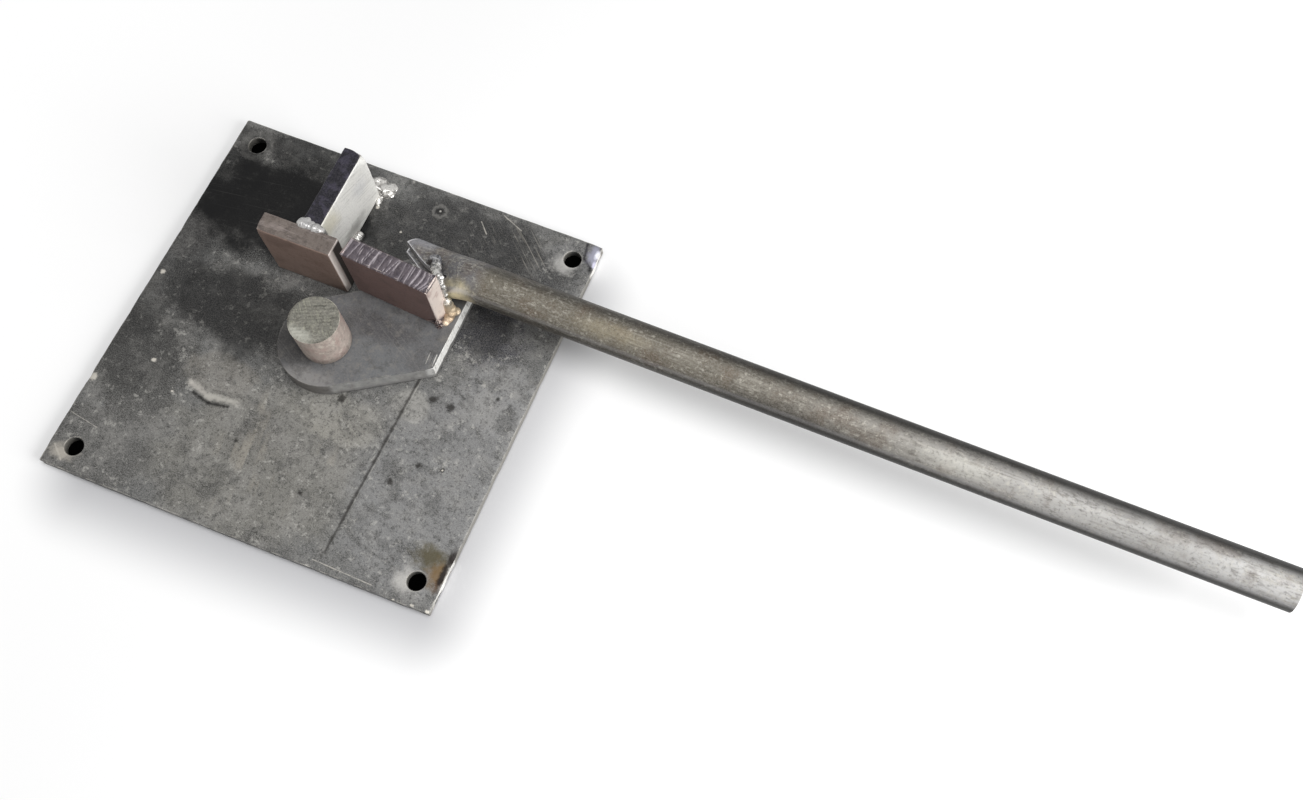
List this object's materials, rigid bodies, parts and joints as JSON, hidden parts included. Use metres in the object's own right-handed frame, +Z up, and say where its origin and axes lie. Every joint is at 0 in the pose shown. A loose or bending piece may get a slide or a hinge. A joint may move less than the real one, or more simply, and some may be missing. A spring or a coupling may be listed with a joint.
{
  "type": "rod bender",
  "caption": "Plate-mounted hand rod bender: fixed stop and pivot post on a square base, and a swinging lever plate with an upright pusher and a tube handle.",
  "frame": {"origin": "on the axis of the pivot pin at the underside of the base plate, which is also the centre of the four mounting holes", "axes": "+Z up along the pivot pin, +X along the handle at rest, +Y towards the stop plate and its rib"},
  "size_m": [0.5517, 0.2, 0.0632],
  "materials": {
    "plate_steel": "hot-rolled mill scale, worn and scratched",
    "pin_steel": "turned bar with a rough sawn top",
    "bar_steel": "brown mill scale with bright worn edges",
    "cut_bar_steel": "brown mill scale with a flame-cut top",
    "rib_steel": "blue-black scale with one ground side",
    "swing_steel": "rubbed dark steel with a bright cut edge",
    "tube_steel": "dull grey-brown tube, flattened and heat-tinted at the root",
    "weld_metal": "rippled weld metal"
  },
  "bodies": {
    "base": {"base_plate": "plate_steel", "pivot_pin": "pin_steel", "pin_plug_weld": "weld_metal", "stop_plate": "bar_steel", "stop_rib": "rib_steel", "stop_foot_weld": "weld_metal", "rib_foot_weld": "weld_metal", "rib_end_weld": "weld_metal", "rib_tack_weld": "weld_metal", "rib_top_weld": "weld_metal"},
    "lever": {"swing_plate": "swing_steel", "pusher_plate": "cut_bar_steel", "pusher_foot_weld": "weld_metal", "pusher_end_weld": "weld_metal", "handle_tube": "tube_steel", "handle_top_weld": "weld_metal", "handle_mitre_weld": "weld_metal", "handle_back_weld": "weld_metal"}
  },
  "joints": [
    {"name": "lever_swing", "type": "hinge", "parent": "base", "child": "lever", "pos_m": [0, 0, 0.0102], "axis": [0, 0, 1], "range_deg": [-215, 9]}
  ]
}
